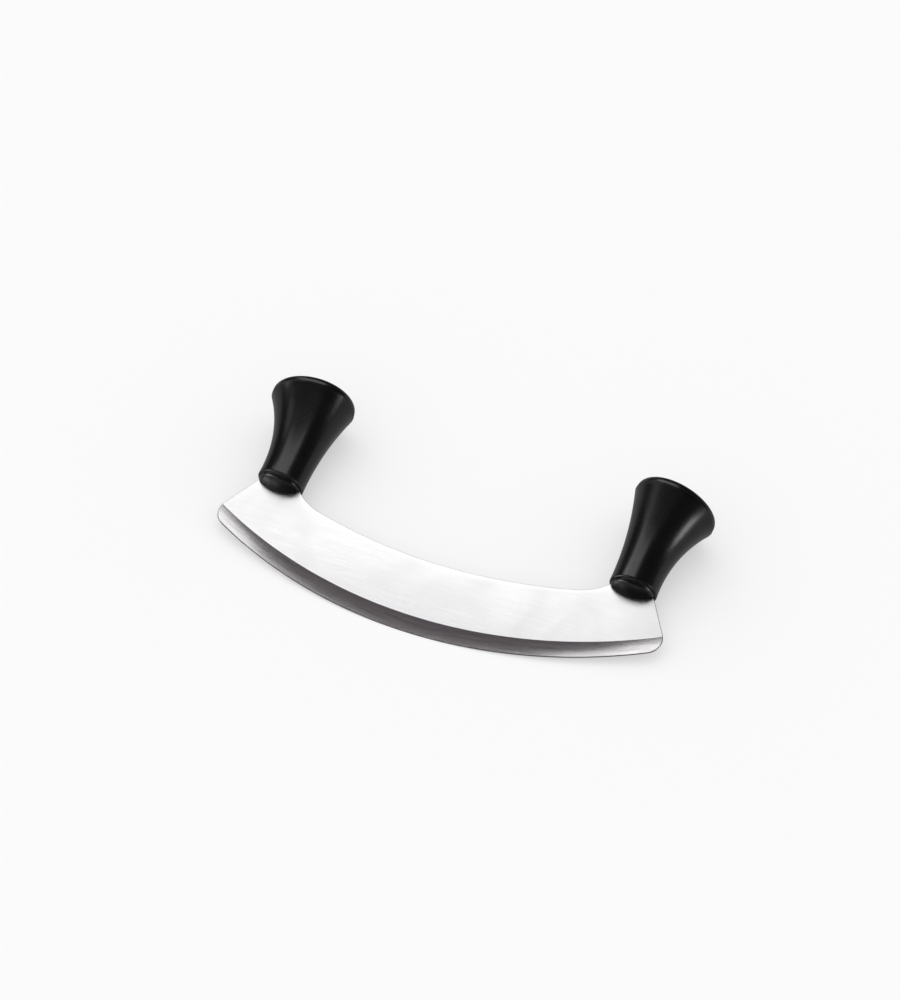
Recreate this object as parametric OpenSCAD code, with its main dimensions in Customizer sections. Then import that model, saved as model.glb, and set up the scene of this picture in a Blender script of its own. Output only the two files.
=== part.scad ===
// Mezzaluna: a crescent chopping knife with an upright flared grip at each end.
// The knife lies on its side, as it would on a worktop: the rims of both grips and the
// middle of the cutting edge touch the surface. +X runs along the blade, from tip to tip,
// and the grips point towards +Y. The origin is under the middle of the knife.
// All sizes are millimetres.

/* [Blade] */
// Distance between the tips, measured where the edge and the ends would meet in a sharp corner
blade_len = 220; // [210:1:230]
// Radius of the convex cutting edge
edge_r = 225; // [215:1:260]
// Thickness of the steel sheet
sheet_t = 1.5; // [1.2:0.1:2]
// Height of the sheet in the middle, from the cutting edge to the concave back
mid_h = 36.6; // [34:0.1:39]
// Radius of the concave back
back_r = 250; // [240:1:300]
// Slant of each end, in degrees from square to the chord
end_slant = 31.4; // [26:0.1:34]
// Radius of the rounded tips
tip_r = 7.5; // [3:0.5:9]
// Radius of the curl where the back rises to each grip
curl_r = 28; // [20:1:36]

/* [Grind] */
// Width of the ground bevel in the middle of the blade
bevel_w = 8.3; // [6:0.1:11]
// Radius of the line where the bevel starts
bevel_r = 229.5; // [215:0.5:260]
// Thickness left at the cutting edge
edge_t = 0.24; // [0.15:0.01:0.4]

/* [Grip] */
// Distance of each grip's foot from the middle of the blade
grip_x = 85.7; // [84:0.1:87]
// Height of each grip's foot above the lowest point of the edge
grip_y = 52.5; // [51.5:0.1:54]
// Outward lean of each grip, in degrees
lean = 3.9; // [2:0.1:5]
// Length of the grip from its foot to its rim
grip_len = 45.4; // [44:0.1:52]
// Radius of the narrowest place
waist_r = 11; // [10.8:0.1:12]
// Height of the narrowest place above the foot
waist_s = 5; // [4:0.5:7]
// Radius of the hollow curve that flares the grip
flare_r = 96; // [88:1:105]
// Radius of the rounded corner at the foot
foot_corner_r = 1.2; // [0.8:0.1:1.6]
// Depth of the dome under the foot
foot_dome_h = 4.4; // [3:0.1:5]
// Wall of the hollow part
wall = 2.6; // [2:0.1:3]
// Height of the hollow's floor above the foot
floor_s = 24; // [22:0.5:27]

/* [Cap] */
// Step from the grip's rim in to the cap's side
cap_step = 0.25; // [0.1:0.05:0.5]
// Height of the cap above the rim
cap_h = 8.7; // [7.5:0.1:10]
// Straight height of the cap's side
cap_side_h = 1; // [0.6:0.1:1.5]
// Radius of the cap's rounded shoulder
cap_corner_r = 3.1; // [2.5:0.1:5]
// Thickness of the cap
cap_wall = 2.4; // [2:0.1:3]
// Radius of the grip's mouth, which the cap plugs
mouth_r = 16; // [15.5:0.1:16.4]
// Depth of the plug
plug_h = 5.2; // [4:0.1:5.5]

/* [Tang] */
// Width of each tang
tang_w = 12; // [10:0.5:13]
// Length of each tang above the foot
tang_len = 30; // [29:0.5:32]
// Radius of the cross pin
pin_r = 1.5; // [1.2:0.1:1.8]
// Length of the cross pin
pin_len = 15; // [12:0.5:17]
// Play between the sheet and the slots, and between the plug and the mouth
play = 0.1; // [0.05:0.01:0.2]

/* [Hidden] */
$fn = 96;
steel = "#c9cbce";
black = "#232325";
pin_steel = "#9a9da1";

// Height of the sharp tip corner above the lowest point of the edge
tip_y = edge_r - sqrt(edge_r * edge_r - blade_len * blade_len / 4);
// Directions of the right end: up along it, and out of the sheet
end_up = [-sin(end_slant), cos(end_slant)];
end_out = [cos(end_slant), sin(end_slant)];
tip = [blade_len / 2, tip_y];

// Centre of the rounded tip: it touches the edge from inside and the slanted end.
edge_c = [0, edge_r];
tip_base = tip - tip_r * end_out - edge_c;
tip_half = tip_base * end_up;
tip_u = -tip_half - sqrt(tip_half * tip_half - tip_base * tip_base + pow(edge_r - tip_r, 2));
tip_v = -tip_half + sqrt(tip_half * tip_half - tip_base * tip_base + pow(edge_r - tip_r, 2));
tip_near = abs(tip_u) < abs(tip_v) ? tip_u : tip_v;
tip_c = edge_c + tip_base + tip_near * end_up;
tip_to_edge = (tip_c - edge_c) / norm(tip_c - edge_c);
tip_bite = 0.04;

// Centre of the concave back, and the inner top corner of the shoulder, a little way into the
// grip's foot
back_c = [0, mid_h + back_r];
axis_dir = [sin(lean), cos(lean)];
across_dir = [cos(lean), -sin(lean)];
foot = [grip_x, grip_y];
side_at_foot = waist_r + flare_r - sqrt(flare_r * flare_r - pow(foot_corner_r - waist_s, 2));
foot_ring_r = side_at_foot - foot_corner_r;
shoulder_s = 0.3;
shoulder_top = foot - foot_ring_r * across_dir + shoulder_s * axis_dir;

// How far up the slanted end the shoulder starts
shoulder_along = ((foot - tip) * axis_dir + shoulder_s) / (end_up * axis_dir);

// A point of the sheet's plane, at a distance across and along the right grip's axis
function on_grip(across, along) = foot + across * across_dir + along * axis_dir;

// Centre of the curl: it passes the shoulder's corner and dips a hair below the back, so that
// the two curves cross instead of only touching.
curl_bite = 0.15;
curl_offset = back_r - curl_r + curl_bite;
curl_gap = norm(shoulder_top - back_c);
curl_dir = (shoulder_top - back_c) / curl_gap;
curl_along = (pow(curl_gap, 2) + pow(curl_offset, 2) - pow(curl_r, 2)) / (2 * curl_gap);
curl_side = sqrt(pow(curl_offset, 2) - pow(curl_along, 2));
curl_c = back_c + curl_along * curl_dir + curl_side * [curl_dir[1], -curl_dir[0]];
curl_start = back_c[0] + (curl_c[0] - back_c[0]) * back_r / curl_offset;

// The grind is a cone whose axis stands over the middle of the blade.
grind_y = bevel_w + bevel_r;

// The grip's outer radius at a height s above its foot
function side_r(s) = waist_r + flare_r - sqrt(flare_r * flare_r - pow(s - waist_s, 2));
rim_r = side_r(grip_len);
foot_dome_r = (pow(foot_ring_r, 2) + pow(foot_dome_h, 2)) / (2 * foot_dome_h);

// The cap: a shoulder arc and a dome arc that touch each other
cap_r = rim_r - cap_step;
cap_top = cap_h - cap_side_h;
cap_in = cap_r - cap_corner_r;
cap_dome_r = (pow(cap_in, 2) + pow(cap_top, 2) - pow(cap_corner_r, 2)) / (2 * (cap_top - cap_corner_r));
cap_drop = cap_dome_r - cap_top;
cap_s = grip_len + cap_side_h;
pin_s = floor_s + pin_r - 0.5;

// How far the knife tips when it lies down: the rim and the edge both reach the surface.
rim_y = grip_y + grip_len * cos(lean);
function settle(t, n) = n == 0 ? t :
    settle(asin((rim_r * sqrt(1 - pow(sin(t) * cos(lean), 2)) - edge_t / 2 * cos(t)) / rim_y), n - 1);
rest_tilt = settle(10, 12);
rest_z = edge_t / 2 * cos(rest_tilt);

// The knife's reach in Y, from the edge to the top of the cap's dome, centred on the origin
dome_y = grip_y + (cap_s - cap_drop) * cos(lean);
reach_y = dome_y * cos(rest_tilt) + cap_dome_r;
edge_reach = edge_t / 2 * sin(rest_tilt);
mid_y = (reach_y - edge_reach) / 2;

big = 400;
tiny = 0.01;

// Lays the knife down: children are drawn with the blade flat in the XY plane.
module lay_down()
    translate([0, -mid_y, rest_z])
        rotate([rest_tilt, 0, 0])
            children();

// Places children at the right grip, drawn upright on the grip's own axis.
module at_right_grip()
    translate([grip_x, grip_y, 0])
        rotate([0, 0, -lean])
            rotate([-90, 0, 0])
                children();

module at_grip(side)
    mirror([side < 0 ? 1 : 0, 0, 0])
        at_right_grip()
            children();

module both_sides() {
    children();
    mirror([1, 0, 0]) children();
}

// Outline of the right half above the edge: the slanted end, the shoulder, the tang and the
// shoulder's inner part, as far as the centre of the curl
module blank_outline() {
    chamfer = 2;
    half = [
        tip - big * end_up,
        tip + shoulder_along * end_up,
        on_grip(tang_w / 2, shoulder_s),
        on_grip(tang_w / 2, tang_len - chamfer),
        on_grip(tang_w / 2 - chamfer, tang_len),
        on_grip(chamfer - tang_w / 2, tang_len),
        on_grip(-tang_w / 2, tang_len - chamfer),
        on_grip(-tang_w / 2, shoulder_s),
        shoulder_top,
        curl_c
    ];
    polygon(concat(half, [for (i = [len(half) - 1:-1:0]) [-half[i][0], half[i][1]]]));
}

// The space over the blade: the concave back, and a curl that rises from it to each shoulder
module back_space() {
    intersection() {
        translate(back_c) circle(back_r, $fn = 720);
        translate([-curl_start, 0]) square([2 * curl_start, big]);
    }
    both_sides() translate(curl_c) circle(curl_r, $fn = 360);
}

// What the rounded tip takes away from the sharp corner. The circle reaches a hair past the edge
// and the slanted end, so that it crosses them instead of only touching.
module tip_corner()
    difference() {
        polygon([
            tip_c,
            tip_c + 3 * tip_r * tip_to_edge,
            tip_c + 4 * tip_r * (tip_to_edge + end_out),
            tip_c + 3 * tip_r * end_out
        ]);
        translate(tip_c) circle(tip_r + tip_bite);
    }

// Outline of the whole sheet: the crescent and its two tangs
module sheet_outline()
    difference() {
        intersection() {
            blank_outline();
            translate(edge_c) circle(edge_r, $fn = 720);
        }
        back_space();
        both_sides() tip_corner();
    }

// The body that the grindstone leaves: full thickness inside the bevel line, thin at the edge
module ground_body() {
    grind_h = (sheet_t - edge_t) / 2;
    translate([0, grind_y, 0]) {
        both_faces()
            translate([0, 0, edge_t / 2])
                cylinder(h = grind_h, r1 = grind_y, r2 = bevel_r, $fn = 720);
        cylinder(h = edge_t + tiny, r = grind_y, center = true, $fn = 720);
    }
}

module both_faces() {
    children();
    mirror([0, 0, 1]) children();
}

module blade()
    color(steel)
        lay_down()
            difference() {
                intersection() {
                    linear_extrude(sheet_t, center = true) sheet_outline();
                    ground_body();
                }
                for (side = [-1, 1])
                    at_grip(side)
                        translate([0, 0, pin_s])
                            rotate([90, 0, 0])
                                cylinder(h = 2 * sheet_t, r = pin_r, center = true);
            }

// Half section of the grip's outside
module grip_section() {
    difference() {
        translate([0, foot_corner_r]) square([rim_r + 1, grip_len - foot_corner_r]);
        translate([waist_r + flare_r, waist_s]) circle(flare_r, $fn = 360);
    }
    square([foot_ring_r, foot_corner_r + tiny]);
    intersection() {
        translate([foot_ring_r, foot_corner_r]) circle(foot_corner_r);
        square([foot_ring_r + foot_corner_r, 2 * foot_corner_r]);
    }
    intersection() {
        translate([0, foot_dome_r - foot_dome_h]) circle(foot_dome_r, $fn = 180);
        translate([0, -foot_dome_h - 1]) square([foot_ring_r, foot_dome_h + 1 + tiny]);
    }
}

// Half section of the hollow, which follows the flare, and of the straight mouth above it
module hollow_section() {
    mouth_s = grip_len - plug_h - 0.5;
    difference() {
        translate([0, floor_s]) square([rim_r, mouth_s - floor_s + tiny]);
        translate([waist_r + flare_r, waist_s]) circle(flare_r + wall, $fn = 360);
    }
    translate([0, mouth_s]) square([mouth_r, plug_h + 2]);
}

module grip(side)
    color(black)
        lay_down()
            at_grip(side)
                difference() {
                    rotate_extrude() grip_section();
                    rotate_extrude() hollow_section();
                    // Slot for the shoulder of the blade, across the domed foot
                    translate([0, 0, shoulder_s - big / 2])
                        cube([big, sheet_t + 2 * play, big], center = true);
                    // Slot for the tang, up into the hollow
                    translate([0, 0, floor_s / 2])
                        cube([tang_w + 2 * play, sheet_t + 2 * play, floor_s + 1], center = true);
                    // Groove that the cross pin lies in
                    translate([0, 0, pin_s])
                        rotate([90, 0, 0])
                            cylinder(h = pin_len + 2 * play, r = pin_r, center = true);
                }

// Half section of the cap: shoulder, dome and plug, hollow inside
module cap_section() {
    plug_r = mouth_r - play;
    difference() {
        union() {
            translate([0, grip_len]) square([cap_in, cap_side_h]);
            translate([cap_in, grip_len]) square([cap_corner_r, cap_side_h]);
            intersection() {
                translate([cap_in, cap_s]) circle(cap_corner_r);
                translate([0, cap_s - tiny]) square([cap_r, cap_h]);
            }
            intersection() {
                translate([0, cap_s - cap_drop]) circle(cap_dome_r, $fn = 180);
                polygon([
                    [0, cap_s - tiny],
                    [cap_in, cap_s - tiny],
                    [cap_in * (1 + cap_h / cap_drop), cap_s + cap_h],
                    [0, cap_s + cap_h]
                ]);
            }
            translate([0, grip_len - plug_h]) square([plug_r, plug_h + tiny]);
        }
        intersection() {
            translate([0, cap_s - cap_drop]) circle(cap_dome_r - cap_wall, $fn = 180);
            translate([0, grip_len - plug_h - 1]) square([plug_r - 1.8, plug_h + cap_h]);
        }
    }
}

module cap(side)
    color(black)
        lay_down()
            at_grip(side)
                rotate_extrude() cap_section();

module pin(side)
    color(pin_steel)
        lay_down()
            at_grip(side)
                translate([0, 0, pin_s])
                    rotate([90, 0, 0])
                        cylinder(h = pin_len, r = pin_r - play / 2, center = true);

module left_grip() grip(-1);
module right_grip() grip(1);
module left_cap() cap(-1);
module right_cap() cap(1);
module left_pin() pin(-1);
module right_pin() pin(1);

blade();
left_grip();
right_grip();
left_cap();
right_cap();
left_pin();
right_pin();
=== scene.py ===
# %% [markdown]
# # A mezzaluna, dressed for a studio picture
#
# A mezzaluna is a crescent of sheet steel with an upright grip at each end. Two hands rock it over
# herbs on a board. Here it lies on its side on the floor.
#
# The exact model of the knife is loaded first and stays as it is: it is the frame that every new
# piece is fitted to. It could also be rebuilt from nothing, but then nothing would hold the two to
# one size. Everything below is in metres, and the new pieces are worked out in millimetres first.

import math

import bpy
import numpy as np
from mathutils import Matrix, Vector


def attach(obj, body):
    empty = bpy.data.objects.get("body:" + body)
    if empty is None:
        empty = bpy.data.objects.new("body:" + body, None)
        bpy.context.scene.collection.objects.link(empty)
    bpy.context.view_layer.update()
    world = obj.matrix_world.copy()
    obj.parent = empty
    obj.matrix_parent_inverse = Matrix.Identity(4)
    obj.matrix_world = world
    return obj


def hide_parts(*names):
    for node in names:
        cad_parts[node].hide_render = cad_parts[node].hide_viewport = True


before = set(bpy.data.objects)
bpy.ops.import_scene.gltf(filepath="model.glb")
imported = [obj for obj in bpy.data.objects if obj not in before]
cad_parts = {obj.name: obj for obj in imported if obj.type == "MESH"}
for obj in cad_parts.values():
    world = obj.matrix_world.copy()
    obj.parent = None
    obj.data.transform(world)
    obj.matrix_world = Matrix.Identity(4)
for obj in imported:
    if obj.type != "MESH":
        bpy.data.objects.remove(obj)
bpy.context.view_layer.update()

# %% [markdown]
# ## The blade's own plane
#
# A curve is easiest to write where the blade is flat: x runs along the chord, y from the cutting
# edge towards the grips, and z comes out of the sheet. One tilt and one shift then lay the knife
# down. The tilt puts the grips' rims and the cutting edge on the floor together, and the feet of
# the grips dip below it by a tenth or two of a millimetre. The exact model is laid down in the same
# way, so the numbers here are the ones it was built with.

# %% Lay the knife down
MM = 0.001
TILT = math.radians(11.4438)
MID_Y = 52.5572
REST_Z = 0.117614


def lay_down(points):
    """Turns points (mm, blade plane) about x by the tilt, shifts them onto the floor, and gives
    metres."""
    x, y, z = np.moveaxis(points, -1, 0)
    laid_y = y * math.cos(TILT) - z * math.sin(TILT) - MID_Y
    laid_z = y * math.sin(TILT) + z * math.cos(TILT) + REST_Z
    return np.stack([x, laid_y, laid_z], -1) * MM


def mesh_piece(name, points, *face_arrays):
    """Makes an object from points (metres) and index arrays of quads or of triangles."""
    mesh = bpy.data.meshes.new(name)
    faces = [face for array in face_arrays for face in array.tolist()]
    mesh.from_pydata(points.tolist(), [], faces)
    mesh.polygons.foreach_set("use_smooth", np.ones(len(mesh.polygons), bool))
    piece = bpy.data.objects.new(name, mesh)
    bpy.context.scene.collection.objects.link(piece)
    return piece


def volume_cm3(mesh):
    """Volume by the divergence theorem: a sixth of the sum of each triangle's triple product."""
    mesh.calc_loop_triangles()
    corners = np.empty(3 * len(mesh.loop_triangles), np.int32)
    mesh.loop_triangles.foreach_get("vertices", corners)
    places = np.empty(3 * len(mesh.vertices))
    mesh.vertices.foreach_get("co", places)
    a, b, c = places.reshape(-1, 3)[corners].reshape(-1, 3, 3).transpose(1, 0, 2)
    return float((a * np.cross(b, c)).sum() / 6 * 1e6)


def open_edges(mesh):
    """Counts the edges that don't have exactly two faces. A closed surface has none."""
    uses = np.empty(len(mesh.loops), np.int32)
    mesh.loops.foreach_get("edge_index", uses)
    return int((np.bincount(uses, minlength=len(mesh.edges)) != 2).sum())


# %% [markdown]
# ## The blade's outline
#
# The sheet is punched out in one stroke, so its outline is made of arcs and straight lines: the
# cutting edge, a small round at each tip, a slanted end, a shoulder that goes up inside the grip, a
# curl, and the concave back. Each arc is found from the circles that it touches. Tracing a picture
# would also give an outline, but it would carry every wobble of the picture, and arcs stay fair.

# %% Arcs of the right half
EDGE_R, HALF_LEN = 225.0, 110.0
SHEET_T, MID_H, BACK_R = 1.5, 36.6, 250.0
END_SLANT, TIP_R, CURL_R = math.radians(31.4), 7.5, 28.0
GRIP_X, GRIP_Y, LEAN = 85.7, 52.5, math.radians(3.9)
TANG_HALF, TANG_LEN, TANG_CHAMFER = 6.0, 30.0, 2.0
FOOT_RING_R = 9.875
BEND = math.radians(9.2)
FOOT_TURN = -BEND / 2

edge_c = np.array([0, EDGE_R])
back_c = np.array([0, MID_H + BACK_R])
foot = np.array([GRIP_X, GRIP_Y])
end_up = np.array([-math.sin(END_SLANT), math.cos(END_SLANT)])
end_out = np.array([math.cos(END_SLANT), math.sin(END_SLANT)])
tip = np.array([HALF_LEN, EDGE_R - math.sqrt(EDGE_R**2 - HALF_LEN**2)])


def angle_of(direction):
    """Angle of a direction from the x axis."""
    return math.atan2(direction[1], direction[0])


def round_dir(angle):
    """Unit vectors (cos a, sin a)."""
    return np.stack([np.cos(angle), np.sin(angle)], -1)


def grip_axes(turn=0.0):
    """Directions across and along the right grip, turned outwards from its lean by an angle."""
    angle = LEAN + turn
    return (np.array([math.cos(angle), -math.sin(angle)]),
            np.array([math.sin(angle), math.cos(angle)]))


def on_grip(across, along, turn=0.0):
    """Points of the sheet at these distances across and along the right grip, from its foot."""
    across_dir, axis_dir = grip_axes(turn)
    return foot + np.multiply.outer(across, across_dir) + np.multiply.outer(along, axis_dir)


# The tip's circle touches the edge from inside and the slanted end.
tip_base = tip - TIP_R * end_out - edge_c
half_b = tip_base @ end_up
tip_shift = -half_b + math.copysign(
    math.sqrt(half_b**2 - tip_base @ tip_base + (EDGE_R - TIP_R) ** 2), half_b)
tip_c = edge_c + tip_base + tip_shift * end_up

# The curl's circle touches the back and passes the shoulder's corner.
shoulder = on_grip(-FOOT_RING_R, 0, FOOT_TURN)
reach = shoulder - back_c
gap = math.hypot(*reach)
along_gap = (gap**2 + (BACK_R - CURL_R) ** 2 - CURL_R**2) / (2 * gap)
beside = math.sqrt((BACK_R - CURL_R) ** 2 - along_gap**2)
curl_c = back_c + along_gap * reach / gap + beside * np.array([reach[1], -reach[0]]) / gap

# The slanted end meets the shoulder's line here. The foot is square to that line.
foot_across, foot_axis = grip_axes(FOOT_TURN)
outer_corner = tip + ((foot - tip) @ foot_axis) / (end_up @ foot_axis) * end_up
print("tip circle", tip_c.round(3), "curl circle", curl_c.round(3), "corner", outer_corner.round(3))

# %% [markdown]
# ## Rungs across the crescent
#
# The face of the blade is a ladder of straight rungs from the cutting edge to the back. The first
# parameter walks along the blade and the second climbs each rung. Where the grind starts, every
# rung has a point exactly on the grind's circle, so the line comes out crisp. A grid cut by a
# boolean could give the same shape, but its small leftover faces would show in the polish.

# %% Lower and upper ends of the rungs
COLUMNS = {"back": 100, "curl": 28, "inner shoulder": 8, "tang": 16, "outer shoulder": 24}
BORDER = 0.22
MICRO_BEVEL = 0.45

edge_end = angle_of(tip_c - edge_c)
edge_len = EDGE_R * (edge_end + math.pi / 2)
round_len = TIP_R * (END_SLANT - edge_end)

# Where the rungs of each stretch stand on the cutting edge, measured along it from the middle
STANDS = [0, 74, 88, 92.5, 102, edge_len + round_len]
counts = list(COLUMNS.values())
walk = np.concatenate([np.linspace(a, b, n, endpoint=False)
                       for a, b, n in zip(STANDS, STANDS[1:], counts)] + [STANDS[-1:]])
on_round = walk > edge_len
lower_angle = np.where(on_round, edge_end + (walk - edge_len) / TIP_R, walk / EDGE_R - math.pi / 2)
lower_out = round_dir(lower_angle)
lower = np.where(on_round[:, None], tip_c + TIP_R * lower_out, edge_c + EDGE_R * lower_out)

# The micro bevel narrows to the plain border on its way round the tip.
round_part = np.clip((walk - edge_len) / round_len, 0, 1)
edge_share = 1 - round_part**2 * (3 - 2 * round_part)
lower_width = BORDER + (MICRO_BEVEL - BORDER) * edge_share

curl_from = angle_of(curl_c - back_c)
curl_to = angle_of(shoulder - curl_c)
back_angle = np.linspace(-math.pi / 2, curl_from, counts[0], endpoint=False)
curl_angle = np.linspace(curl_from, curl_to, counts[1], endpoint=False)
slide = np.concatenate([
    np.linspace(-FOOT_RING_R + BORDER, BORDER - TANG_HALF, counts[2], endpoint=False),
    np.linspace(BORDER - TANG_HALF, TANG_HALF - BORDER, counts[3], endpoint=False),
    np.linspace(TANG_HALF - BORDER, (outer_corner - foot) @ foot_across - BORDER, counts[4] + 1)])
upper_inner = np.concatenate([
    back_c + (BACK_R + BORDER) * round_dir(back_angle),
    curl_c + (CURL_R + BORDER) * round_dir(curl_angle),
    on_grip(slide, 0, FOOT_TURN) - BORDER * foot_axis])
lower_inner = lower - lower_width[:, None] * lower_out
print("rungs in the right half:", len(walk), " edge", round(edge_len, 1), "mm")

# %% [markdown]
# ## How thick the steel is
#
# The sheet is one thickness up to the grind. A wheel then hollows the strip along the edge, so the
# surface falls steeply just under the line and flattens towards the edge. That small hollow is what
# makes the strip dark at its top and lighter below. A straight slope would reflect as one flat
# tone.

# %% Thickness at a point
BEVEL_R, BEVEL_W, EDGE_T = 229.5, 8.3, 0.24
HOLLOW = 0.10
grind_c = np.array([0, BEVEL_R + BEVEL_W])


def half_thickness(points):
    """Half the sheet, less a straight slope past the grind's circle, less a parabola that is 0 at
    both ends of the slope and deepest in its middle."""
    past = np.linalg.norm(points - grind_c, axis=-1) - BEVEL_R
    share = np.clip(past / BEVEL_W, 0, 1)
    straight = (SHEET_T - EDGE_T) / 2 * share
    return SHEET_T / 2 - straight - 4 * HOLLOW * share * (1 - share)


def grind_line(start, way):
    """Share of each rung at which it crosses the grind's circle: the first root of the quadratic
    |start + t way - centre| = radius. The last rungs start above the grind, so theirs is a hair."""
    from_c = start - grind_c
    a = (way**2).sum(-1)
    b = (from_c * way).sum(-1)
    c = (from_c**2).sum(-1) - BEVEL_R**2
    return np.maximum((-b - np.sqrt(b * b - a * c)) / a, 0.01)


# %% [markdown]
# ## The whole sheet as one closed surface
#
# The ladder is mirrored to the left half, two short ladders carry the tangs up into the grips, and
# a rounded lip goes round the outline. The lip is a profile carried along a path: a quarter circle
# for the punched border, which turns into the flat micro bevel of the cutting edge. The lower face
# is the upper one with z reversed, and one strip of wall joins them.

# %% Ladder, tangs and lip
GRIND_ROWS, FACE_ROWS, TANG_ROWS = 8, 12, 10
LIP_ANGLES = np.radians([22.5, 45, 67.5, 90])
EDGE_HALF = 0.04


def mirrored(right, flip):
    """The right half with its mirror image before it. The first entry lies on the middle and isn't
    repeated. flip is what the mirror multiplies each coordinate by."""
    return np.concatenate([right[:0:-1] * flip, right])


flip_x = np.array([-1, 1])
low, high = mirrored(lower_inner, flip_x), mirrored(upper_inner, flip_x)
grind_t = grind_line(low, high - low)[:, None]
climb = np.concatenate([
    grind_t * np.linspace(0, 1, GRIND_ROWS, endpoint=False),
    grind_t + (1 - grind_t) * np.linspace(0, 1, FACE_ROWS + 1)], axis=1)
ladder = low[:, None] + climb[..., None] * (high - low)[:, None]
ids = np.arange(ladder.shape[0] * ladder.shape[1]).reshape(ladder.shape[:2])

# The tang's rows go straight up, and the last one is narrower by the chamfer.
half_columns = len(walk) - 1
tang_first = half_columns + sum(counts[:3])
tang_last = tang_first + counts[3]
tang_s = np.append(np.linspace(0, TANG_LEN - TANG_CHAMFER, TANG_ROWS), TANG_LEN - BORDER)[1:]
tang_half = np.where(tang_s > TANG_LEN - TANG_CHAMFER, TANG_HALF - TANG_CHAMFER, TANG_HALF) - BORDER
spread = np.linspace(-1, 1, counts[3] + 1)
right_tang = on_grip(spread[:, None] * tang_half, 0) + np.multiply.outer(tang_s, grip_axes()[1])
left_tang = right_tang[::-1] * flip_x
tang_ids = ids.size + np.arange(right_tang[..., 0].size).reshape(right_tang.shape[:2])
left_tang_ids = tang_ids + tang_ids.size
top = ids[:, -1]
right_grid = np.column_stack([top[tang_first:tang_last + 1], tang_ids])
left_columns = slice(2 * half_columns - tang_last, 2 * half_columns - tang_first + 1)
left_grid = np.column_stack([top[left_columns], left_tang_ids])
flat_points = np.concatenate([p.reshape(-1, 2) for p in (ladder, right_tang, left_tang)])
flat_half = half_thickness(flat_points)


def quads(grid):
    """Index quads of a grid of point numbers, turned the same way throughout."""
    return np.stack([grid[:-1, :-1], grid[1:, :-1], grid[1:, 1:], grid[:-1, 1:]], -1).reshape(-1, 4)


def around(grid):
    """Right side, top and left side of a tang's grid, without the row that it shares."""
    return np.concatenate([grid[-1, 1:], grid[-2:0:-1, -1], grid[0, :0:-1]])


loop = np.concatenate([
    ids[:, 0], ids[-1, 1:-1],
    top[:tang_last - 1:-1], around(right_grid), top[tang_first:left_columns.stop - 2:-1],
    around(left_grid), top[left_columns.start::-1], ids[0, -2:0:-1]])

# %% Close the surface
path = flat_points[loop]
ahead = np.roll(path, -1, 0) - path
side_out = np.stack([ahead[:, 1], -ahead[:, 0]], -1) / np.linalg.norm(ahead, axis=1)[:, None]
before = np.roll(side_out, 1, 0)
mitre = (side_out + before) / (1 + (side_out * before).sum(1))[:, None]

lip_share = np.zeros(len(loop))
lip_share[:len(low)] = mirrored(edge_share[:, None], 1)[:, 0]
lip_width = np.full(len(loop), BORDER)
lip_width[:len(low)] = mirrored(lower_width[:, None], 1)[:, 0]
lip_start = flat_half[loop]
out = np.sin(LIP_ANGLES)[:, None]
lip_round = lip_start - lip_width * (1 - np.cos(LIP_ANGLES)[:, None])
lip_straight = lip_start + (EDGE_HALF - lip_start) * out
lip_z = lip_share * lip_straight + (1 - lip_share) * lip_round
lip_xy = path + (lip_width * out)[..., None] * mitre

upper_points = np.concatenate([
    np.column_stack([flat_points, flat_half]),
    np.concatenate([lip_xy, lip_z[..., None]], -1).reshape(-1, 3)])
lip_ids = len(flat_points) + np.arange(lip_z.size).reshape(lip_z.shape)
lip_grid = np.vstack([loop, lip_ids])
lip_grid = np.column_stack([lip_grid, lip_grid[:, 0]])
upper_faces = np.concatenate([quads(g) for g in (ids, right_grid, left_grid, lip_grid)])
below = len(upper_points)
wall = np.stack([lip_grid[-1], lip_grid[-1] + below])
blade_points = np.concatenate([upper_points, upper_points * [1, 1, -1]])
blade_faces = np.concatenate([upper_faces, upper_faces[:, ::-1] + below, quads(wall)])
blade = mesh_piece("crescent_blade", lay_down(blade_points), blade_faces)
print("blade:", len(blade_faces), "quads, open edges", open_edges(blade.data),
      ", volume", round(volume_cm3(blade.data), 3), "cm3")

# %% [markdown]
# ## Crisp lines in the polish
#
# Smooth shading would blur the start of the grind and of the micro bevel over a whole face. Marking
# those edges as sharp keeps each line crisp. A bevel modifier would need many more faces for it.
# The punched border is left dull, unlike the faces, and its colour is painted dark as painted shade
# for the thin dark line along the outline, so each point also carries its share of the border, as
# an attribute that the steel reads later.

# %% Mark the ground lines
is_line = np.zeros(len(blade_points), np.int8)
is_line[ids[:, GRIND_ROWS]] = 1
is_line[ids[:, 0]] = 2
is_line[below:] = is_line[:below]
edge_ends = np.empty(2 * len(blade.data.edges), np.int32)
blade.data.edges.foreach_get("vertices", edge_ends)
kinds = is_line[edge_ends.reshape(-1, 2)]
sharp = (kinds[:, 0] == kinds[:, 1]) & (kinds[:, 0] > 0)
blade.data.attributes.new("sharp_edge", "BOOLEAN", "EDGE").data.foreach_set("value", sharp)

# The punched border is dull, and its colour is painted dark: painted shade for the thin dark line
# along the outline. Every point carries its share of it.
border_dull_and_painted_shade = np.zeros(len(blade_points))
border_dull_and_painted_shade[lip_ids] = (1 - lip_share) * np.ones_like(out)
border_dull_and_painted_shade[below:] = border_dull_and_painted_shade[:below]
blade.data.attributes.new("border_dull_and_painted_shade", "FLOAT", "POINT").data.foreach_set("value", border_dull_and_painted_shade)
print("sharp edges on the blade:", int(sharp.sum()), " border points:", int((border_dull_and_painted_shade > 0.5).sum()))

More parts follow.
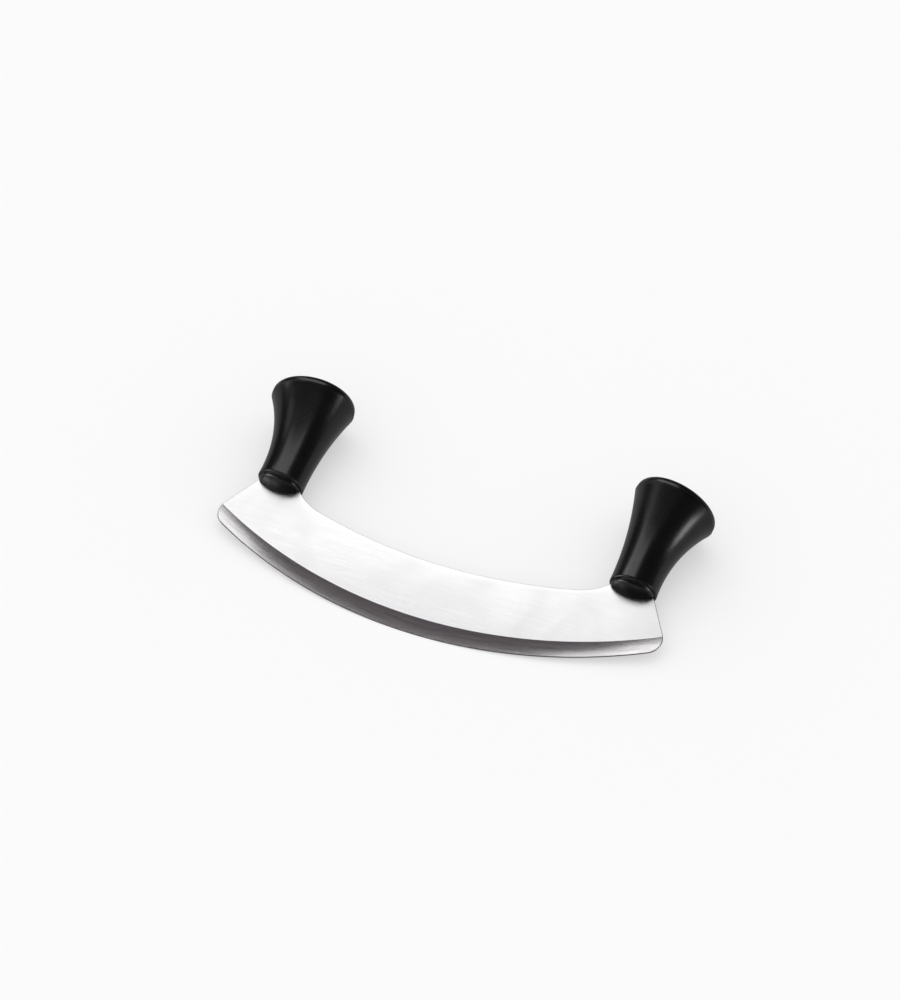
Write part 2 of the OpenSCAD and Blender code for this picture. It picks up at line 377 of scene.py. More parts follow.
# %% [markdown]
# ## Grips and caps are turned shapes
#
# Each grip is a moulded knob: a domed foot with a fine groove, a small round, a long hollow flare,
# a rim, and inside it the mouth and the hollow that keep the wall even. Such a shape is one outline
# spun round an axis. The outlines are written as radius and height, from pole to pole, so that the
# spun surface is closed. The Screw modifier could spin them too, but a plain product of the outline
# with a circle also lets the spine bend outwards, as it does on the real knob.

# %% Spin an outline
SPIN_STEPS = 144
GRIP_LEN, WAIST_R, WAIST_S, FLARE_R = 45.4, 11.0, 5.0, 96.0


def spine(s):
    """Centre (across, along) and turn of the spine at each height s. The turn grows evenly from
    minus half the bend at the foot to half the bend at the rim, so the spine is a circular arc:
    across is the integral of the turn's sine and along that of its cosine. Past both ends it is
    straight."""
    h = np.clip(s / GRIP_LEN, 0, 1)
    turn = BEND * (h - 0.5)
    past = s - GRIP_LEN * h
    across = GRIP_LEN * (math.cos(BEND / 2) - np.cos(turn)) / BEND + past * np.sin(turn)
    along = GRIP_LEN * (math.sin(BEND / 2) + np.sin(turn)) / BEND + past * np.cos(turn)
    return across, along, turn


def spun(name, outline, side):
    """Point centre(s) + r cos u (cos t, -sin t) + r sin u out of the sheet, for each outline point
    (r, s) and angle u, where t is the spine's turn at s. The first and last outline points lie on
    the axis and become poles."""
    r, s = outline[1:-1].T[..., None]
    u = np.arange(SPIN_STEPS) * 2 * math.pi / SPIN_STEPS
    across, along, turn = spine(s)
    ring = np.stack([across + r * np.cos(u) * np.cos(turn), along - r * np.cos(u) * np.sin(turn),
                     r * np.sin(u)], -1).reshape(-1, 3)
    pole_across, pole_along, _ = spine(outline[[0, -1], 1])
    poles = np.column_stack([pole_across, pole_along, [0, 0]])
    a, s_all, d = np.concatenate([ring, poles]).T
    across_dir, axis_dir = grip_axes()
    flat = (foot + np.outer(a, across_dir) + np.outer(s_all, axis_dir)) * [side, 1]
    rings = np.arange(r.size * SPIN_STEPS).reshape(r.size, SPIN_STEPS)
    rings = np.column_stack([rings, rings[:, 0]])
    body = quads(rings)
    first, last = rings.max() + 1, rings.max() + 2
    fans = np.concatenate([
        np.column_stack([np.full(SPIN_STEPS, first), rings[0, :-1], rings[0, 1:]]),
        np.column_stack([np.full(SPIN_STEPS, last), rings[-1, 1:], rings[-1, :-1]])])
    points = lay_down(np.column_stack([flat, d]))
    # The mirror image turns inside out, so its faces are wound the other way.
    turned = slice(None, None, -1 if side > 0 else 1)
    return mesh_piece(name, points, body[:, turned], fans[:, turned])


def arc(centre, radius, start, end, count):
    """Points centre + radius (cos a, sin a), with a going evenly from start to end in degrees."""
    return np.array(centre) + radius * round_dir(np.radians(np.linspace(start, end, count)))


def side_r(s):
    """Outer radius of the grip at height s: a circle of the flare's radius, hollow towards the
    hand."""
    return WAIST_R + FLARE_R - np.sqrt(FLARE_R**2 - (s - WAIST_S) ** 2)


# %% The grip's outline
FOOT_ROUND, FOOT_DOME_H, DOME_ROUND, WALL, FLOOR_S = 0.8, 4.3, 2.4, 2.6, 24.0
MOUTH_R, PLUG_H, PLUG_GAP, PLUG_WALL = 16.0, 5.2, 0.5, 1.8
RIM_ROUND, GROOVE = 0.35, 0.13

# The dome is a wide arc with a small round at its rim. The two touch where both face ring_angle.
foot_in = side_r(FOOT_ROUND) - FOOT_ROUND
dome_rim = foot_in - GROOVE
dome_in = dome_rim - DOME_ROUND
dome_r = (dome_in**2 + FOOT_DOME_H**2 - DOME_ROUND**2) / (2 * (FOOT_DOME_H - DOME_ROUND))
ring_angle = math.degrees(math.asin(dome_in / (dome_r - DOME_ROUND)))
rim_s = GRIP_LEN - RIM_ROUND
flare_s = np.linspace(FOOT_ROUND, rim_s, 48)
mouth_s = GRIP_LEN - PLUG_H - PLUG_GAP
hollow_s = np.linspace(mouth_s, FLOOR_S, 16)
hollow_r = WAIST_R + FLARE_R - np.sqrt((FLARE_R + WALL) ** 2 - (hollow_s - WAIST_S) ** 2)
rim_in = side_r(rim_s) - RIM_ROUND
grip_outline = np.concatenate([
    arc((0, dome_r - FOOT_DOME_H), dome_r, -90, ring_angle - 90, 14),
    arc((dome_in, 0), DOME_ROUND, ring_angle - 84, 0, 10),
    [(foot_in - 0.08, GROOVE)],
    arc((foot_in, FOOT_ROUND), FOOT_ROUND, -82, -5, 8),
    np.column_stack([side_r(flare_s), flare_s]),
    arc((rim_in, rim_s), RIM_ROUND, 15, 90, 6),
    [(MOUTH_R, GRIP_LEN), (MOUTH_R, mouth_s)],
    np.column_stack([hollow_r, hollow_s]),
    [(0, FLOOR_S)]])[::-1]
print("grip outline:", len(grip_outline), "points, rim radius", round(float(side_r(GRIP_LEN)), 2))

# %% The cap's outline
CAP_STEP, CAP_H, CAP_SIDE_H, CAP_ROUND, CAP_WALL = 0.25, 8.4, 1.0, 3.1, 2.4
PLAY, HEM = 0.1, 0.3

cap_r = side_r(GRIP_LEN) - CAP_STEP
cap_in = cap_r - CAP_ROUND
cap_top = CAP_H - CAP_SIDE_H
cap_dome_r = (cap_in**2 + cap_top**2 - CAP_ROUND**2) / (2 * (cap_top - CAP_ROUND))
cap_s = GRIP_LEN + CAP_SIDE_H
dome_c = (0, cap_s - (cap_dome_r - cap_top))
meet = math.degrees(math.atan2(cap_s - dome_c[1], cap_in))
plug_r = MOUTH_R - PLAY
inner_r = plug_r - PLUG_WALL
inner_dome = cap_dome_r - CAP_WALL
inner_meet = math.degrees(math.acos(inner_r / inner_dome))
cap_outline = np.concatenate([
    [(0, GRIP_LEN + CAP_H)],
    arc(dome_c, cap_dome_r, 89, meet, 20),
    arc((cap_in, cap_s), CAP_ROUND, meet - 4, 0, 14),
    arc((cap_r - HEM, GRIP_LEN + HEM), HEM, 0, -90, 5),
    [(plug_r, GRIP_LEN), (plug_r, GRIP_LEN - PLUG_H), (inner_r, GRIP_LEN - PLUG_H)],
    arc(dome_c, inner_dome, inner_meet, 88, 10),
    [(0, dome_c[1] + inner_dome)]])
print("cap outline:", len(cap_outline), "points, rim radius", round(float(cap_r), 2))

# %% [markdown]
# ## Slots for the steel
#
# The sheet goes up through a slot in the foot, and the tang through the floor of the hollow, where
# a cross pin lies in a groove. On the real grip the mould leaves these openings. Here three plain
# cutters are subtracted. A cut is right for them, because they are straight holes in a finished
# shape, and only a hair of each shows beside the steel.

# %% Cut the slots
PIN_R, PIN_LEN, PIN_S = 1.5, 15.0, 25.0
SLOT_HALF = SHEET_T / 2 + PLAY
PAST_FOOT = 14.0  # half width of a cutter that is wider than the foot
UNDER_FOOT = 6.0  # and how far it starts below it


def block(name, side, half_width, half_depth, s_low, s_high, turn=0.0):
    """A box on the grip's axis, given by its half width, half depth, two heights and a turn."""
    a, s, d = np.array(np.meshgrid([-1, 1], [0, 1], [-1, 1], indexing="ij")).reshape(3, -1)
    across_dir, axis_dir = grip_axes(turn)
    flat = (foot + np.outer(a * half_width, across_dir)
            + np.outer(s_low + s * (s_high - s_low), axis_dir)) * [side, 1]
    faces = np.array([[0, 1, 3, 2], [4, 6, 7, 5], [0, 4, 5, 1],
                      [2, 3, 7, 6], [0, 2, 6, 4], [1, 5, 7, 3]])
    return mesh_piece(name, lay_down(np.column_stack([flat, d * half_depth])),
                      faces if side > 0 else faces[:, ::-1])


def rod(name, side, radius, half_depth, at_s, count=32):
    """A cylinder across the sheet: two rings of count points, and a fan on each end."""
    u = np.arange(count) * 2 * math.pi / count
    a, s = radius * np.cos(u), at_s + radius * np.sin(u)
    ring = np.concatenate([on_grip(a, s), [on_grip(0, at_s)]]) * [side, 1]
    points = np.concatenate([np.column_stack([ring, np.full(count + 1, z)])
                             for z in (-half_depth, half_depth)])
    i, j = np.arange(count), (np.arange(count) + 1) % count
    wall_a = np.column_stack([i, j, j + count + 1])
    wall_b = np.column_stack([i, j + count + 1, i + count + 1])
    ends = np.concatenate([
        np.column_stack([np.full(count, count), j, i]),
        np.column_stack([np.full(count, 2 * count + 1), i + count + 1, j + count + 1])])
    faces = np.concatenate([wall_a, wall_b, ends])
    if volume_sign(points, faces) < 0:
        faces = faces[:, ::-1]
    return mesh_piece(name, lay_down(points), faces)


def volume_sign(points, faces):
    """Positive if the triangles face outwards."""
    a, b, c = points[faces].transpose(1, 0, 2)
    return (a * np.cross(b, c)).sum()


def subtract(piece, cutters):
    """Takes the cutters away from the piece with exact booleans and keeps the resulting mesh."""
    for cutter in cutters:
        cut = piece.modifiers.new("slot", "BOOLEAN")
        cut.operation, cut.solver, cut.object = "DIFFERENCE", "EXACT", cutter
    done = bpy.data.meshes.new_from_object(
        piece.evaluated_get(bpy.context.evaluated_depsgraph_get()))
    piece.modifiers.clear()
    piece.data = done
    for cutter in cutters:
        bpy.data.objects.remove(cutter)


SHARP_FROM = math.radians(28)
pieces = {"blade": blade}
for side, word in ((-1, "left"), (1, "right")):
    grip = spun(f"{word}_turned_grip", grip_outline, side)
    cutters = [block("sheet_slot", side, PAST_FOOT, SLOT_HALF, -UNDER_FOOT, 0, FOOT_TURN),
               block("tang_slot", side, TANG_HALF + PLAY, SLOT_HALF, -1, FLOOR_S + 0.5),
               rod("pin_groove", side, PIN_R, PIN_LEN / 2 + PLAY, PIN_S)]
    subtract(grip, cutters)
    cap = spun(f"{word}_domed_cap", cap_outline, side)
    for piece in (grip, cap):
        piece.data.set_sharp_from_angle(angle=SHARP_FROM)
        print(piece.name, len(piece.data.polygons), "faces, open edges", open_edges(piece.data),
              ", volume", round(volume_cm3(piece.data), 3), "cm3")
    pieces[f"{word}_grip"] = grip
    pieces[f"{word}_cap"] = cap

# %% [markdown]
# ## Shader helpers
#
# A finish is a small network of nodes. One helper adds a node, sets it and feeds its inputs, so
# each network reads from top to bottom. Effects that several finishes use are node groups with
# named sockets: they give out only values that change over the surface, and the shader itself stays
# in each material, where its fixed numbers are set.


# %% Node helpers
def put(tree, kind, feeds=None, **settings):
    """Adds a node. Each feed is a socket, which is linked, or a plain value, which is set."""
    made = tree.nodes.new("ShaderNode" + kind)
    for key, value in settings.items():
        setattr(made, key, value)
    for key, value in (feeds or {}).items():
        if isinstance(value, bpy.types.NodeSocket):
            tree.links.new(value, made.inputs[key])
        else:
            made.inputs[key].default_value = value
    return made


def calc(tree, operation, *values, clamp=False):
    """One Math node, and its result."""
    made = put(tree, "Math", dict(enumerate(values)), operation=operation, use_clamp=clamp)
    return made.outputs[0]


def remap(tree, value, from_low, from_high, to_low, to_high):
    """A smooth step from one range to another."""
    return put(tree, "MapRange", {"Value": value, "From Min": from_low, "From Max": from_high,
                                  "To Min": to_low, "To Max": to_high},
               interpolation_type="SMOOTHSTEP").outputs["Result"]


def new_group(name, inputs, outputs):
    """An empty node group with these sockets, given as (name, type) pairs."""
    tree = bpy.data.node_groups.new(name, "ShaderNodeTree")
    for way, sockets in (("INPUT", inputs), ("OUTPUT", outputs)):
        for label, kind in sockets:
            tree.interface.new_socket(label, in_out=way, socket_type="NodeSocket" + kind)
    return tree, tree.nodes.new("NodeGroupInput").outputs, tree.nodes.new("NodeGroupOutput").inputs


# %% [markdown]
# ## Fine lines and handling
#
# Ground and polished surfaces carry lines in one direction, short ones over long ones. The group
# takes a place on the surface and how many lines there are across and along, and mixes two noises
# of different fineness. The second group is what use leaves on any surface: faint smudges a few
# millimetres wide, and hairline scratches in changing directions.

# %% Group: tool lines
lines_group, given, result = new_group(
    "Tool lines",
    [("Across", "Float"), ("Along", "Float"), ("Fineness", "Float"), ("Length", "Float")],
    [("Height", "Float"), ("Bands", "Float")])
fine_place = put(lines_group, "CombineXYZ", {
    "X": calc(lines_group, "MULTIPLY", given["Across"], given["Fineness"]),
    "Y": calc(lines_group, "DIVIDE", given["Along"], given["Length"])})
fine = put(lines_group, "TexNoise", {"Vector": fine_place.outputs[0], "Scale": 1.0, "Detail": 3.0,
                                     "Roughness": 0.6})
wide_place = put(lines_group, "VectorMath", {0: fine_place.outputs[0], 1: (0.13, 0.4, 1)},
                 operation="MULTIPLY")
wide = put(lines_group, "TexNoise", {"Vector": wide_place.outputs[0], "Scale": 1.0, "Detail": 2.0})
lines_group.links.new(fine.outputs[0], result["Height"])
lines_group.links.new(wide.outputs[0], result["Bands"])

# %% Group: handling
use_group, given, result = new_group(
    "Handling", [("Place", "Vector"), ("Smudge size", "Float")],
    [("Smudges", "Float"), ("Scratches", "Float")])
smudge_scale = calc(use_group, "DIVIDE", 1.0, given["Smudge size"])
smudge = put(use_group, "TexNoise", {"Vector": given["Place"], "Scale": smudge_scale, "Detail": 4.0,
                                     "Roughness": 0.55, "Distortion": 0.8})
use_group.links.new(remap(use_group, smudge.outputs[0], 0.4, 0.75, 0, 1), result["Smudges"])
bend = put(use_group, "TexNoise", {"Vector": given["Place"], "Scale": 60.0, "Detail": 1.0})
bent = put(use_group, "VectorMath",
           {0: bend.outputs["Color"], 1: (0.02, 0.02, 0.02), 2: given["Place"]},
           operation="MULTIPLY_ADD")
hairs = put(use_group, "TexVoronoi", {"Vector": bent.outputs[0], "Scale": 160.0},
            feature="DISTANCE_TO_EDGE")
here = put(use_group, "TexNoise", {"Vector": given["Place"], "Scale": 110.0, "Detail": 2.0})
thin = remap(use_group, hairs.outputs["Distance"], 0.0, 0.018, 1, 0)
use_group.links.new(
    calc(use_group, "MULTIPLY", thin, remap(use_group, here.outputs[0], 0.55, 0.7, 0, 1)),
    result["Scratches"])

# %% Group: places on the knife
def stand_up(tree, place, origin_y):
    """Undoes the lying down: x, y and z of the blade's plane in metres, y from origin_y (mm)."""
    shift_y = (MID_Y * math.cos(TILT) - REST_Z * math.sin(TILT) - origin_y) * MM
    shift_z = -(MID_Y * math.sin(TILT) + REST_Z * math.cos(TILT)) * MM
    stood_up = put(tree, "Mapping", {"Vector": place, "Rotation": (-TILT, 0, 0),
                                     "Location": (0, shift_y, shift_z)})
    return put(tree, "SeparateXYZ", {0: stood_up.outputs[0]}).outputs


blade_group, given, result = new_group(
    "Blade places", [("Object", "Vector")],
    [("Along edge", "Float"), ("Past grind line", "Float"), ("Length", "Float"),
     ("Height", "Float")])
# The origin is the centre of the grind's circle.
plane = stand_up(blade_group, given["Object"], BEVEL_R + BEVEL_W)
x, y = plane["X"], plane["Y"]
radius = calc(blade_group, "SQRT", calc(blade_group, "MULTIPLY_ADD", x, x,
                                        calc(blade_group, "MULTIPLY", y, y)))
bearing = calc(blade_group, "ARCTAN2", x, calc(blade_group, "MULTIPLY", y, -1.0))
blade_group.links.new(calc(blade_group, "MULTIPLY", bearing, BEVEL_R * MM), result["Along edge"])
blade_group.links.new(calc(blade_group, "SUBTRACT", radius, BEVEL_R * MM),
                      result["Past grind line"])
blade_group.links.new(x, result["Length"])
blade_group.links.new(y, result["Height"])

grip_group, given, result = new_group(
    "Grip places", [("Object", "Vector")],
    [("Along", "Float"), ("Round", "Float"), ("Radius", "Float")])
plane = stand_up(grip_group, given["Object"], 0)
either = calc(grip_group, "ABSOLUTE", plane["X"])
from_foot = put(grip_group, "CombineXYZ", {
    "X": calc(grip_group, "SUBTRACT", either, GRIP_X * MM),
    "Y": calc(grip_group, "SUBTRACT", plane["Y"], GRIP_Y * MM),
    "Z": plane["Z"]})
upright = put(grip_group, "Mapping", {"Vector": from_foot.outputs[0], "Rotation": (0, 0, LEAN)})
local = put(grip_group, "SeparateXYZ", {0: upright.outputs[0]})
a, s, d = local.outputs["X"], local.outputs["Y"], local.outputs["Z"]
grip_group.links.new(s, result["Along"])
grip_group.links.new(calc(grip_group, "ARCTAN2", d, a), result["Round"])
grip_group.links.new(calc(grip_group, "SQRT", calc(grip_group, "MULTIPLY_ADD", a, a,
                                                   calc(grip_group, "MULTIPLY", d, d))),
                     result["Radius"])
print("node groups:", [g.name for g in bpy.data.node_groups])

# %% [markdown]
# ## Satin steel
#
# The flat of the blade is brushed to a satin, and the strip along the edge is ground, so its lines
# follow the edge. The strip's colour is also painted darker than the flat: painted shade for the
# dark reflection it shows, with the grind's streaks on top. Both are bare metal: what is seen is
# the room, blurred by the lines. So the finish is a metal whose roughness and tiny relief come from
# the line group, with a mask that changes from one to the other exactly at the grind's circle.


# %% Steel
def new_material(name):
    """An empty material with its shader and a socket of Object coordinates."""
    material = bpy.data.materials.new(name)
    material.use_nodes = True
    tree = material.node_tree
    shader = tree.nodes["Principled BSDF"]
    return material, tree, shader, put(tree, "TexCoord").outputs["Object"]


def use(tree, group, **feeds):
    """Places a node group and feeds it. An underscore in a socket's name stands for a space."""
    made = put(tree, "Group", node_tree=group)
    for key, value in feeds.items():
        socket = made.inputs[key.replace("_", " ")]
        if isinstance(value, bpy.types.NodeSocket):
            tree.links.new(value, socket)
        else:
            socket.default_value = value
    return made.outputs


def blend_colours(tree, factor, first, second):
    """Mixes two colours by a factor that changes over the surface."""
    made = put(tree, "Mix", data_type="RGBA")
    tree.links.new(factor, made.inputs[0])
    for socket, value in ((made.inputs[6], first), (made.inputs[7], second)):
        if isinstance(value, bpy.types.NodeSocket):
            tree.links.new(value, socket)
        else:
            socket.default_value = value
    return made.outputs[2]


steel, tree, shader, place = new_material("satin_steel")
spot = use(tree, blade_group, Object=place)
brushed = use(tree, lines_group, Across=spot["Height"], Along=spot["Length"], Fineness=6500.0,
              Length=0.012)
ground = use(tree, lines_group, Across=spot["Past grind line"], Along=spot["Along edge"],
             Fineness=5200.0, Length=0.007)
handled = use(tree, use_group, Place=place, Smudge_size=0.03)
is_ground = remap(tree, spot["Past grind line"], -0.00003, 0.00003, 0, 1)
face_tone = blend_colours(tree, brushed["Bands"], (0.76, 0.755, 0.765, 1), (0.86, 0.855, 0.865, 1))
# Painted shade: the ground strip's colour is darker than the steel's own, standing in for the dark
# reflection that the strip shows. Its streaks are the grind's own.
ground_tone_with_painted_shade = blend_colours(tree, ground["Bands"], (0.47, 0.46, 0.465, 1), (0.80, 0.79, 0.795, 1))
tone = blend_colours(tree, is_ground, face_tone, ground_tone_with_painted_shade)
border_dull_and_painted_shade_share = put(tree, "Attribute", attribute_name="border_dull_and_painted_shade").outputs["Fac"]
# Painted shade: the border's dark colour draws the thin dark line along the blade's outline. Its
# higher roughness below is the sheared edge's own dullness.
tone = blend_colours(tree, border_dull_and_painted_shade_share, tone, (0.29, 0.285, 0.29, 1))
tree.links.new(tone, shader.inputs["Base Color"])
face_rough = calc(tree, "MULTIPLY_ADD", handled["Smudges"], 0.05,
                  calc(tree, "MULTIPLY_ADD", brushed["Height"], 0.12, 0.22))
ground_rough = calc(tree, "MULTIPLY_ADD", ground["Height"], 0.08, 0.09)
rough = put(tree, "Mix", {0: is_ground, 2: face_rough, 3: ground_rough}).outputs[0]
rough = put(tree, "Mix", {0: border_dull_and_painted_shade_share, 2: rough, 3: 0.42}).outputs[0]
tree.links.new(rough, shader.inputs["Roughness"])
line_height = put(tree, "Mix", {0: is_ground, 2: brushed["Height"], 3: ground["Height"]}).outputs[0]
height = calc(tree, "MULTIPLY_ADD", handled["Scratches"], -0.5, line_height)
bump = put(tree, "Bump", {"Height": height, "Strength": 0.10, "Distance": 0.00004})
tree.links.new(bump.outputs[0], shader.inputs["Normal"])
shader.inputs["Metallic"].default_value = 1.0

# %% [markdown]
# ## Black moulded plastic
#
# The grips and caps are black plastic with a soft shine. A mould leaves very fine lines along the
# knob, hands polish the flare and dull the rim, and dust sits in the groove at the foot. The colour
# is nearly nothing: almost all that is seen is the shine, so the roughness carries the finish. The
# grips and the caps share one recipe with small differences, because they come out of two moulds.


# %% Plastic
def black_plastic(name, gloss, line_depth, rim_s, rim_width):
    """Moulded black plastic. gloss is its roughness where it is cleanest, line_depth the relief of
    the mould's lines, and rim_s with rim_width the band that wear has dulled (metres along the
    axis)."""
    material, tree, shader, place = new_material(name)
    spot = use(tree, grip_group, Object=place)
    mould = use(tree, lines_group, Across=spot["Round"], Along=spot["Along"], Fineness=46.0,
                Length=0.02)
    handled = use(tree, use_group, Place=place, Smudge_size=0.014)
    grain = put(tree, "TexNoise", {"Vector": place, "Scale": 2600.0, "Detail": 2.0,
                                   "Roughness": 0.5})
    off_rim = calc(tree, "ABSOLUTE", calc(tree, "SUBTRACT", spot["Along"], rim_s))
    worn = remap(tree, off_rim, 0.0, rim_width, 1, 0)
    worn = calc(tree, "MULTIPLY", worn, remap(tree, handled["Smudges"], 0.0, 0.6, 0.35, 1.0))
    at_foot = remap(tree, calc(tree, "ABSOLUTE", spot["Along"]), 0.0, 0.0006, 1, 0)
    dusty = calc(tree, "MULTIPLY", at_foot, 0.5)
    lift = calc(tree, "MAXIMUM", calc(tree, "MULTIPLY", worn, 0.14), dusty)
    lift = calc(tree, "MULTIPLY_ADD", handled["Scratches"], 0.15, lift, clamp=True)
    tone = blend_colours(tree, lift, (0.0022, 0.0019, 0.0025, 1), (0.022, 0.021, 0.023, 1))
    tree.links.new(tone, shader.inputs["Base Color"])
    rough = calc(tree, "MULTIPLY_ADD", handled["Smudges"], 0.07, gloss)
    rough = calc(tree, "MULTIPLY_ADD", mould["Height"], 0.06, rough)
    rough = calc(tree, "MULTIPLY_ADD", worn, 0.10, rough)
    tree.links.new(rough, shader.inputs["Roughness"])
    relief = calc(tree, "MULTIPLY_ADD", mould["Height"], line_depth, grain.outputs[0])
    relief = calc(tree, "MULTIPLY_ADD", handled["Scratches"], -0.6, relief)
    bump = put(tree, "Bump", {"Height": relief, "Strength": 0.12, "Distance": 0.00005})
    tree.links.new(bump.outputs[0], shader.inputs["Normal"])
    shader.inputs["Specular IOR Level"].default_value = 0.65
    return material


grip_black = black_plastic("grip_black", 0.22, 1.8, GRIP_LEN * MM, 0.0009)
cap_black = black_plastic("cap_black", 0.22, 0.5, GRIP_LEN * MM + 0.0004, 0.0011)

# %% [markdown]
# ## Pin steel
#
# The cross pins are cut from drawn rod and are hidden in the grips. They keep their exact solids
# and only get a finish: bright metal with faint lines along the rod, which lies across the sheet.

# %% Pins
rod_steel, tree, shader, place = new_material("drawn_rod")
parts = put(tree, "SeparateXYZ", {0: place})
drawn = use(tree, lines_group, Across=parts.outputs["X"], Along=parts.outputs["Z"], Fineness=7000.0,
            Length=0.006)
handled = use(tree, use_group, Place=place, Smudge_size=0.004)
tone = blend_colours(tree, drawn["Bands"], (0.46, 0.46, 0.47, 1), (0.62, 0.62, 0.63, 1))
tree.links.new(tone, shader.inputs["Base Color"])
rough = calc(tree, "MULTIPLY_ADD", handled["Smudges"], 0.1, 0.24)
tree.links.new(rough, shader.inputs["Roughness"])
bump = put(tree, "Bump", {"Height": drawn["Height"], "Strength": 0.15, "Distance": 0.00004})
tree.links.new(bump.outputs[0], shader.inputs["Normal"])
shader.inputs["Metallic"].default_value = 1.0

# %% [markdown]
# ## Pieces on the frame
#
# Each new piece gets its material, hides the solid of the exact model that it stands for, and is
# hung on the body that it moves with. The knife has no moving part, so everything rides on the
# root.

# %% Dress the frame
FINISH = {"blade": (steel, "blade_steel"),
          "left_grip": (grip_black, "grip_plastic"), "right_grip": (grip_black, "grip_plastic"),
          "left_cap": (cap_black, "cap_plastic"), "right_cap": (cap_black, "cap_plastic")}
for node_name, piece in pieces.items():
    material, slot_name = FINISH[node_name]
    piece.data.materials.clear()
    piece.data.materials.append(material)
    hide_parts(node_name)
    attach(piece, "root")
for node_name in ("left_pin", "right_pin"):
    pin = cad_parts[node_name]
    pin.data.materials.clear()
    pin.data.materials.append(rod_steel)

# %% [markdown]
# ## Floor, light and camera
#
# The floor is a plain pale sheet under even light from all round. It gives a little light of its
# own, so the shadows stay faint, and it is dimmer in reflections than it looks. Polished things
# show what is around them, so the lamps are placed by their reflections. A soft box over the left
# grip whitens the flat of the blade and stops short of the ground strip, which therefore stays
# dark. Three small panels finish its front corners, and a dim ceiling in front of it gives the
# ground strip its last grey. Low lamps at the front and the left draw the soft spots on the feet
# and caps, and a strip at the right draws the streak on the right flare. For reflections the room
# itself is dim.

# %% Floor
FLOOR_HALF = 3.0
FLOOR_GREY, FLOOR_GLOW, FLOOR_SHINE = 0.50, 0.45, 0.33
WHITE = (1, 1, 1, 1)

corners = np.array([[-1, -1, 0], [1, -1, 0], [1, 1, 0], [-1, 1, 0]]) * FLOOR_HALF
floor = mesh_piece("floor", corners, np.array([[0, 1, 2, 3]]))
floor_finish, tree, shader, place = new_material("pale_floor")
shader.inputs["Base Color"].default_value = (FLOOR_GREY, FLOOR_GREY, FLOOR_GREY, 1)
shader.inputs["Emission Color"].default_value = WHITE
shader.inputs["Emission Strength"].default_value = FLOOR_GLOW
shader.inputs["Roughness"].default_value = 0.9
shader.inputs["Specular IOR Level"].default_value = 0.1
shine = put(tree, "Emission", {"Color": WHITE, "Strength": FLOOR_SHINE})
in_shine = put(tree, "LightPath").outputs["Is Glossy Ray"]
floor_mix = put(tree, "MixShader", {0: in_shine, 1: shader.outputs[0], 2: shine.outputs[0]})
tree.links.new(floor_mix.outputs[0], tree.nodes["Material Output"].inputs["Surface"])
floor.data.materials.append(floor_finish)


# %% Lamps
KNIFE = (0.0, 0.0, 0.02)


def panel(name, place, width, height, radiance, aim=None, colour=(1, 1, 1)):
    """A soft box at place that faces aim, or straight down. Its power is radiance times pi times
    its area."""
    lamp = bpy.data.lights.new(name, "AREA")
    lamp.shape, lamp.size, lamp.size_y = "RECTANGLE", width, height
    lamp.energy = radiance * math.pi * width * height
    holder = bpy.data.objects.new(name, lamp)
    holder.location = place
    facing = Vector(aim or (*place[:2], 0.0)) - Vector(place)
    holder.rotation_euler = facing.to_track_quat("-Z", "Y").to_euler()
    holder.visible_camera = False
    holder.visible_diffuse = False
    lamp.color = colour
    bpy.context.scene.collection.objects.link(holder)
    return holder


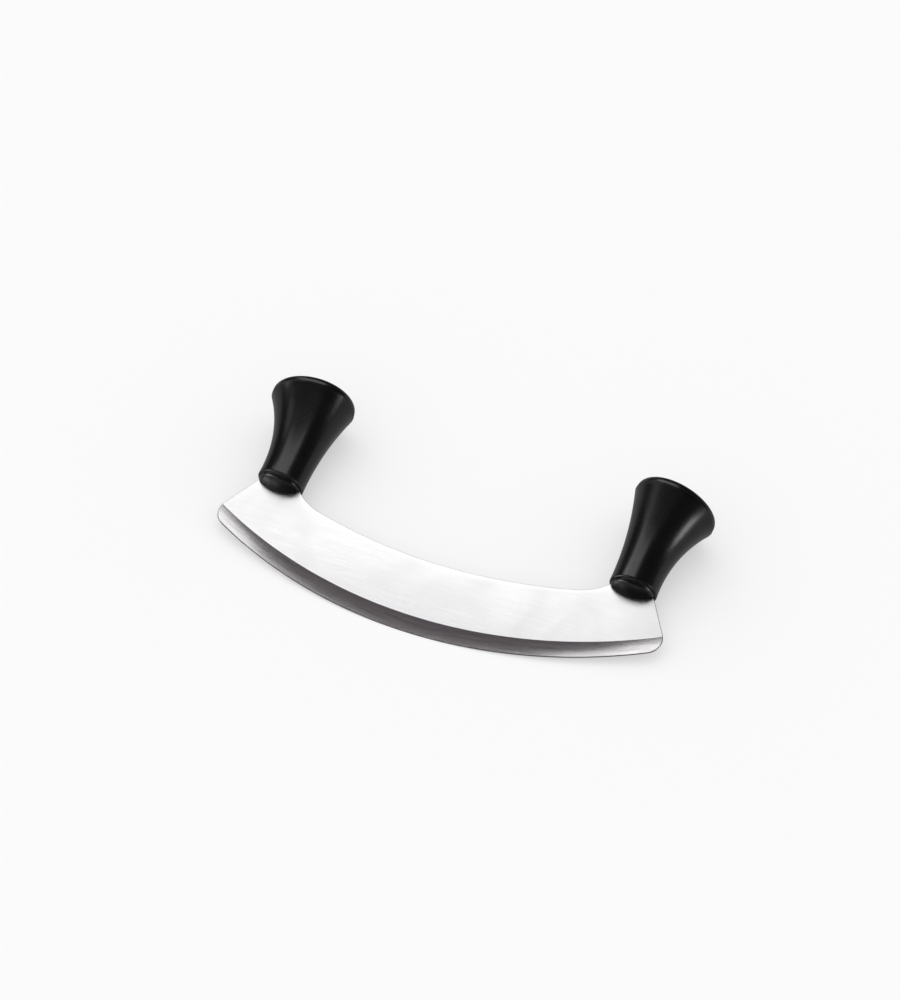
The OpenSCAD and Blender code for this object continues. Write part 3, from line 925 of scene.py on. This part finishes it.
panel("overhead_box", (-0.13, 0.1645, 0.36), 0.40, 0.275, 1.42)
panel("box_right_corner", (0.062, 0.018, 0.359), 0.056, 0.020, 1.35)
panel("box_right_step", (0.010, 0.022, 0.359), 0.048, 0.012, 1.2)
panel("box_left_corner", (-0.285, 0.0205, 0.359), 0.12, 0.013, 1.35)
panel("dim_front_ceiling", (-0.13, -0.115, 0.37), 0.56, 0.28, 0.075, colour=(1, 0.82, 0.92))
panel("upper_left", (-0.87, -0.07, 0.62), 0.34, 0.34, 0.6, KNIFE)
panel("back_left", (-0.72, 0.60, 0.72), 0.34, 0.34, 1.8, KNIFE)
panel("front_low", (-0.50, -0.90, 0.17), 0.36, 0.26, 1.6, KNIFE)
panel("left_low", (-0.86, -0.55, 0.19), 0.60, 0.36, 3.4, (-0.05, 0.0, 0.02))
panel("right_strip", (0.61, -0.055, 0.068), 0.18, 0.134, 5.0, (0.09, 0.03, 0.02))

sun = bpy.data.lights.new("soft_sun", "SUN")
sun.energy, sun.angle = 0.35, math.radians(60)
sun_holder = bpy.data.objects.new("soft_sun", sun)
sun_holder.rotation_euler = (math.radians(-25), math.radians(-20), 0)
sun_holder.visible_glossy = False
bpy.context.scene.collection.objects.link(sun_holder)

# %% Room
ROOM_LIGHT, ROOM_SHINE = 0.93, 0.045
world = bpy.data.worlds.new("room")
world.use_nodes = True
bpy.context.scene.world = world
tree = world.node_tree
tree.nodes.clear()
bright = put(tree, "Background", {"Color": WHITE, "Strength": ROOM_LIGHT})
dim = put(tree, "Background", {"Color": WHITE, "Strength": ROOM_SHINE})
glossy = put(tree, "LightPath").outputs["Is Glossy Ray"]
mixed = put(tree, "MixShader", {0: glossy, 1: bright.outputs[0], 2: dim.outputs[0]})
put(tree, "OutputWorld", {"Surface": mixed.outputs[0]})
bpy.context.scene.view_settings.view_transform = "Standard"

# %% Camera
CAMERA_PLACE = (0.36255, -0.82765, 1.00826)
CAMERA_DEGREES = (42.828, 0.968, 22.704)
SENSOR, LENS = 36, 120

camera_data = bpy.data.cameras.new("camera")
camera_data.sensor_fit, camera_data.sensor_width, camera_data.lens = "HORIZONTAL", SENSOR, LENS
camera_data.clip_start, camera_data.clip_end = 0.05, 20
camera = bpy.data.objects.new("camera", camera_data)
camera.location = CAMERA_PLACE
camera.rotation_euler = [math.radians(angle) for angle in CAMERA_DEGREES]
bpy.context.scene.collection.objects.link(camera)
bpy.context.scene.camera = camera
